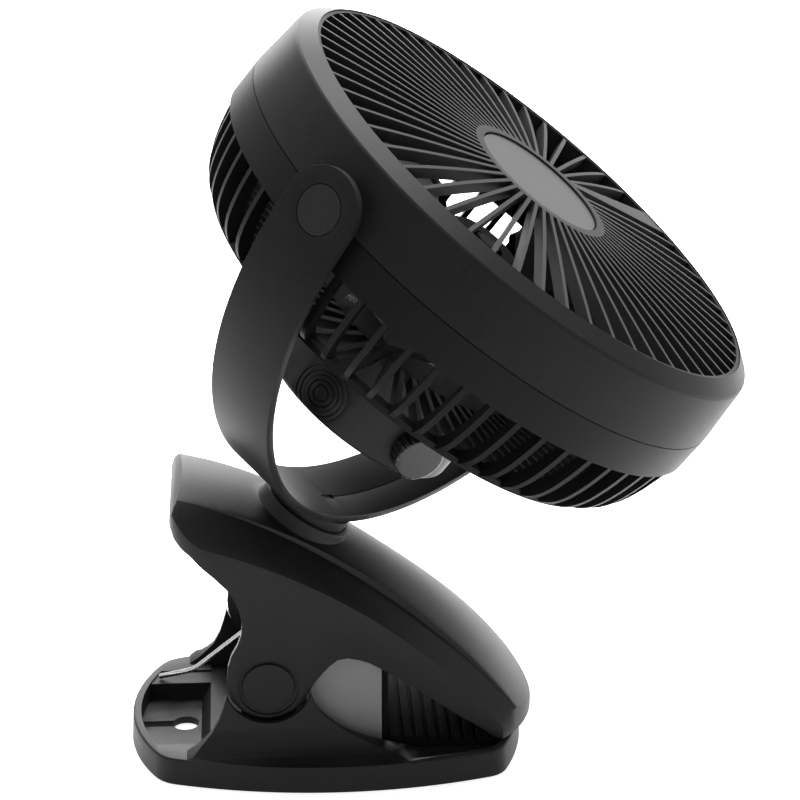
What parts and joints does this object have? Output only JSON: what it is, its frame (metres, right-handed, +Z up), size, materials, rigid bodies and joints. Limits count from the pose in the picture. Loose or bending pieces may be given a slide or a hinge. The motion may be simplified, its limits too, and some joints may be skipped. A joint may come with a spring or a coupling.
{
  "type": "clip fan",
  "caption": "Desk clip fan with a spring clamp base, half-ring yoke, round caged head, rear motor housing, speed knob and push button.",
  "frame": {"origin": "centre of the flat underside of the base", "axes": "+Z up, +X from the handle end to the clamping nose, +Y to the far side"},
  "size_m": [0.2008, 0.1843, 0.242],
  "materials": {
    "shell_black": "satin moulded",
    "drum_black": "satin moulded",
    "grille_black": "satin moulded",
    "throat_grey": "fine grain",
    "cap_black": "fine grain",
    "knob_gloss": "gloss",
    "badge_grey": "satin",
    "grip_rubber": "matt",
    "spring_steel": "drawn wire",
    "bolt_steel": "plated",
    "blade_black": "satin moulded",
    "motor_steel": "drawn",
    "magnet_black": "sintered",
    "copper_winding": "lacquered",
    "board_green": "solder mask"
  },
  "bodies": {
    "base": {"base_shell": "shell_black", "base_sole": "grip_rubber", "throat_block": "throat_grey", "throat_pad": "grip_rubber", "lower_grip_pad": "grip_rubber", "clamp_axle": "bolt_steel", "spring_sleeve": "cap_black", "torsion_spring": "spring_steel"},
    "upper_jaw": {"jaw_shell": "shell_black", "upper_grip_pad": "grip_rubber", "clamp_cap_near": "cap_black", "clamp_cap_far": "cap_black"},
    "yoke": {"yoke_strap": "shell_black", "swivel_collar": "cap_black", "swivel_bolt": "bolt_steel", "swivel_washer": "bolt_steel", "swivel_nut": "bolt_steel", "pivot_cap_near": "cap_black", "pivot_cap_far": "cap_black"},
    "head": {"front_ring": "drum_black", "front_grille": "grille_black", "hub_badge": "badge_grey", "rear_grille": "drum_black", "rear_housing": "shell_black", "housing_screws": "bolt_steel", "tilt_bush_near": "cap_black", "tilt_bush_far": "cap_black", "tilt_screw_near": "bolt_steel", "tilt_screw_far": "bolt_steel", "tilt_nut_near": "bolt_steel", "tilt_nut_far": "bolt_steel", "speed_control": "cap_black", "button_switch": "cap_black", "control_board": "board_green", "power_socket": "motor_steel", "motor_can": "motor_steel", "motor_magnets": "magnet_black", "motor_bracket": "motor_steel", "front_bearing": "bolt_steel", "rear_bearing": "bolt_steel"},
    "rotor": {"impeller": "blade_black", "motor_shaft": "bolt_steel", "armature": "copper_winding", "rotor_nut": "cap_black"},
    "knob": {"speed_knob": "knob_gloss"},
    "button": {"mode_button": "cap_black"}
  },
  "joints": [
    {"name": "jaw_open", "type": "hinge", "parent": "base", "child": "upper_jaw", "pos_m": [-0.01905, 0, 0.0311], "axis": [0, -1, 0], "range_deg": [0, 30], "stiffness_Nm_per_rad": 1, "springref_deg": -34.38, "deforming": ["torsion_spring"]},
    {"name": "yoke_swivel", "type": "hinge", "parent": "upper_jaw", "child": "yoke", "pos_m": [-0.0047, 0, 0.082], "axis": [0.5432, 0, 0.8396], "continuous": true},
    {"name": "head_tilt", "type": "hinge", "parent": "yoke", "child": "head", "pos_m": [0.05309, 0, 0.17134], "axis": [0.5596, 0.7455, -0.362], "continuous": true},
    {"name": "fan_spin", "type": "hinge", "parent": "head", "child": "rotor", "pos_m": [0.05309, 0, 0.17134], "axis": [0.6125, -0.0778, 0.7866], "continuous": true},
    {"name": "knob_turn", "type": "hinge", "parent": "head", "child": "knob", "pos_m": [0.02819, -0.02877, 0.11352], "axis": [0.2952, -0.9006, -0.3189], "range_deg": [0, 270]},
    {"name": "button_press", "type": "slide", "parent": "head", "child": "button", "axis": [0.4371, 0.8625, -0.2551], "range_m": [0, 0.0008], "stiffness_N_per_m": 1500, "springref_m": -0.0008}
  ]
}
